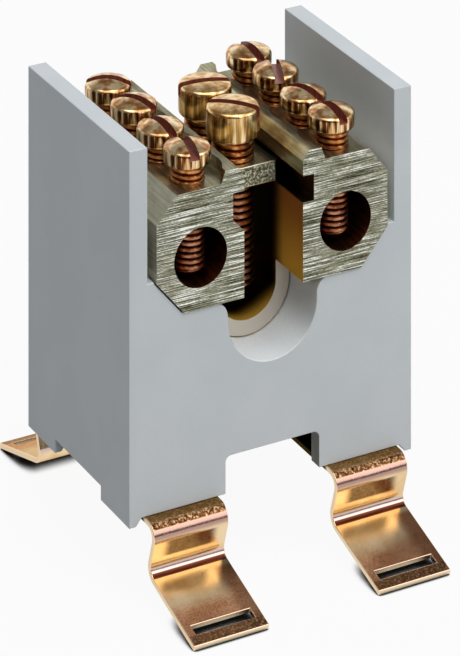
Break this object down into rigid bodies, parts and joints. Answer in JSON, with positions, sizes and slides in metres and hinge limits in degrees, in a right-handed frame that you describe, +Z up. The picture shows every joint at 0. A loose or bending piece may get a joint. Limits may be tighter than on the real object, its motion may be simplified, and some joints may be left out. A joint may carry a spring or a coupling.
{
  "type": "distribution terminal block",
  "caption": "Open grey plastic housing on bronze spring rail clips, carrying a brass clamp with slotted screws for one main and several branch conductors.",
  "frame": {"origin": "on the surface it stands on, under the middle of its overall box", "axes": "+Z up, -Y is the front of the picture, X runs along the mounting rail"},
  "size_m": [0.046, 0.0622, 0.0633],
  "materials": {
    "housing": "fine moulded grey plastic",
    "brass": "drawn brass with sawn end faces",
    "screw": "copper-gold passivated steel",
    "clip": "glossy bronze-coloured spring strip"
  },
  "bodies": {
    "block": {"housing": "housing", "clamp_body": "brass", "bridge_plate": "brass", "rail_clip_left": "clip", "rail_clip_right": "clip"},
    "branch_screw_left_1": {"branch_screw_left_1": "screw"},
    "branch_screw_left_2": {"branch_screw_left_2": "screw"},
    "branch_screw_left_3": {"branch_screw_left_3": "screw"},
    "branch_screw_left_4": {"branch_screw_left_4": "screw"},
    "branch_screw_right_1": {"branch_screw_right_1": "screw"},
    "branch_screw_right_2": {"branch_screw_right_2": "screw"},
    "branch_screw_right_3": {"branch_screw_right_3": "screw"},
    "branch_screw_right_4": {"branch_screw_right_4": "screw"},
    "main_screw_front": {"main_screw_front": "screw"},
    "main_screw_rear": {"main_screw_rear": "screw"}
  },
  "joints": [
    {"name": "branch_screw_left_1_travel", "type": "slide", "parent": "block", "child": "branch_screw_left_1", "axis": [0, 0, 1], "range_m": [0, 0.007]},
    {"name": "branch_screw_left_2_travel", "type": "slide", "parent": "block", "child": "branch_screw_left_2", "axis": [0, 0, 1], "range_m": [0, 0.007]},
    {"name": "branch_screw_left_3_travel", "type": "slide", "parent": "block", "child": "branch_screw_left_3", "axis": [0, 0, 1], "range_m": [0, 0.007]},
    {"name": "branch_screw_left_4_travel", "type": "slide", "parent": "block", "child": "branch_screw_left_4", "axis": [0, 0, 1], "range_m": [0, 0.007]},
    {"name": "branch_screw_right_1_travel", "type": "slide", "parent": "block", "child": "branch_screw_right_1", "axis": [0, 0, 1], "range_m": [0, 0.007]},
    {"name": "branch_screw_right_2_travel", "type": "slide", "parent": "block", "child": "branch_screw_right_2", "axis": [0, 0, 1], "range_m": [0, 0.007]},
    {"name": "branch_screw_right_3_travel", "type": "slide", "parent": "block", "child": "branch_screw_right_3", "axis": [0, 0, 1], "range_m": [0, 0.007]},
    {"name": "branch_screw_right_4_travel", "type": "slide", "parent": "block", "child": "branch_screw_right_4", "axis": [0, 0, 1], "range_m": [0, 0.007]},
    {"name": "main_screw_front_travel", "type": "slide", "parent": "block", "child": "main_screw_front", "axis": [0, 0, 1], "range_m": [-0.0028, 0.014]},
    {"name": "main_screw_rear_travel", "type": "slide", "parent": "block", "child": "main_screw_rear", "axis": [0, 0, 1], "range_m": [-0.0028, 0.014]}
  ]
}
